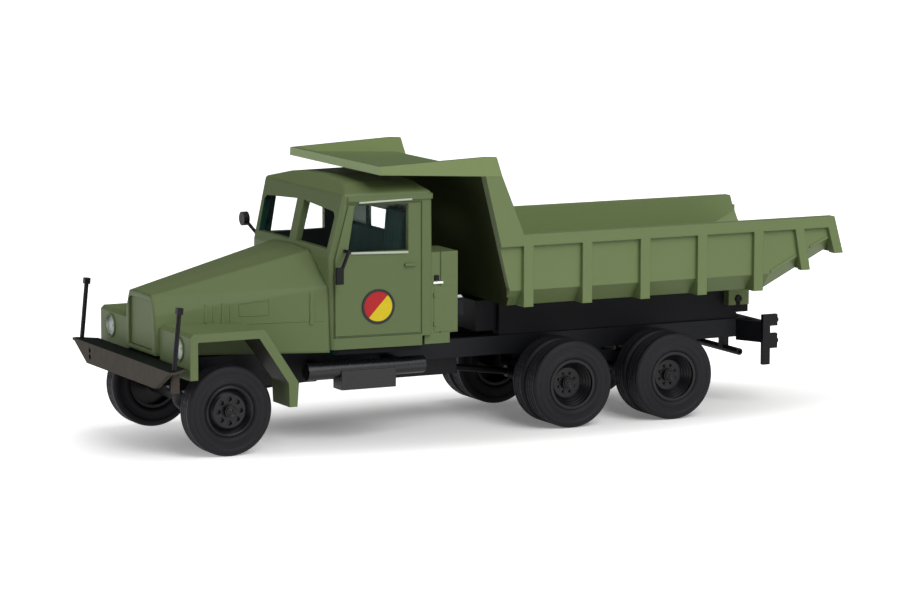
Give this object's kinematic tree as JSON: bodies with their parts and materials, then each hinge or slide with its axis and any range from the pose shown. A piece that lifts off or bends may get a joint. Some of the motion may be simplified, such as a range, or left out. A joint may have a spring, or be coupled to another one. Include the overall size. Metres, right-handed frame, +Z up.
{
  "type": "scale model tipper truck",
  "caption": "Plastic scale model of a long-bonnet tipper truck with a ribbed trough bed, kicked-up tail and cab guard; the bed tips and the wheels roll.",
  "frame": {"origin": "on the ground under the middle of the truck's length and width", "axes": "+X forward, +Y to the truck's left, +Z up"},
  "size_m": [0.0874, 0.0292, 0.0321],
  "materials": {
    "body_green": "satin",
    "chassis_black": "satin",
    "rim_black": "satin",
    "tyre_black": "satin",
    "interior_black": "matt",
    "glazing": "clear",
    "lamp_clear": "clear",
    "lamp_red": "gloss",
    "axle_steel": "bright"
  },
  "bodies": {
    "chassis": {"chassis_rails": "chassis_black", "front_springs": "chassis_black", "bogie_springs": "chassis_black", "front_axle_housing": "chassis_black", "rear_axle_housing_1": "chassis_black", "rear_axle_housing_2": "chassis_black", "driveline": "chassis_black", "tipper_subframe": "chassis_black", "front_bumper": "chassis_black", "marker_rods": "chassis_black", "cab_shell": "body_green", "bonnet": "body_green", "radiator_panel": "body_green", "wing_left": "body_green", "wing_right": "body_green", "headlamps": "lamp_clear", "windscreen_glass": "glazing", "door_glass": "glazing", "rear_glass": "glazing", "cab_interior": "interior_black", "steering_wheel": "interior_black", "mirror_left": "chassis_black", "mirror_right": "chassis_black", "locker": "body_green", "silencer": "chassis_black", "fuel_tank": "chassis_black", "rear_crossbeam": "chassis_black", "tail_lamps": "lamp_red", "tailpipe": "chassis_black", "tow_coupling": "chassis_black"},
    "front_axle_set": {"front_shaft": "axle_steel", "front_tyres": "tyre_black", "front_rims": "rim_black"},
    "rear_axle_set_1": {"rear_shaft_1": "axle_steel", "rear_tyres_1": "tyre_black", "rear_rims_1": "rim_black"},
    "rear_axle_set_2": {"rear_shaft_2": "axle_steel", "rear_tyres_2": "tyre_black", "rear_rims_2": "rim_black"},
    "bed": {"bed_floor": "body_green", "bed_side_left": "body_green", "bed_side_right": "body_green", "bed_front_wall": "body_green", "cab_guard": "body_green", "bed_hinge": "body_green"}
  },
  "joints": [
    {"name": "front_axle_roll", "type": "hinge", "parent": "chassis", "child": "front_axle_set", "pos_m": [0.03555, 0, 0.0051], "axis": [0, 1, 0], "continuous": true},
    {"name": "rear_axle_1_roll", "type": "hinge", "parent": "chassis", "child": "rear_axle_set_1", "pos_m": [-0.0076, 0, 0.0051], "axis": [0, 1, 0], "continuous": true},
    {"name": "rear_axle_2_roll", "type": "hinge", "parent": "chassis", "child": "rear_axle_set_2", "pos_m": [-0.02105, 0, 0.0051], "axis": [0, 1, 0], "continuous": true},
    {"name": "bed_tip", "type": "hinge", "parent": "chassis", "child": "bed", "pos_m": [-0.0334, 0, 0.01275], "axis": [0, -1, 0], "range_deg": [0, 45]}
  ]
}
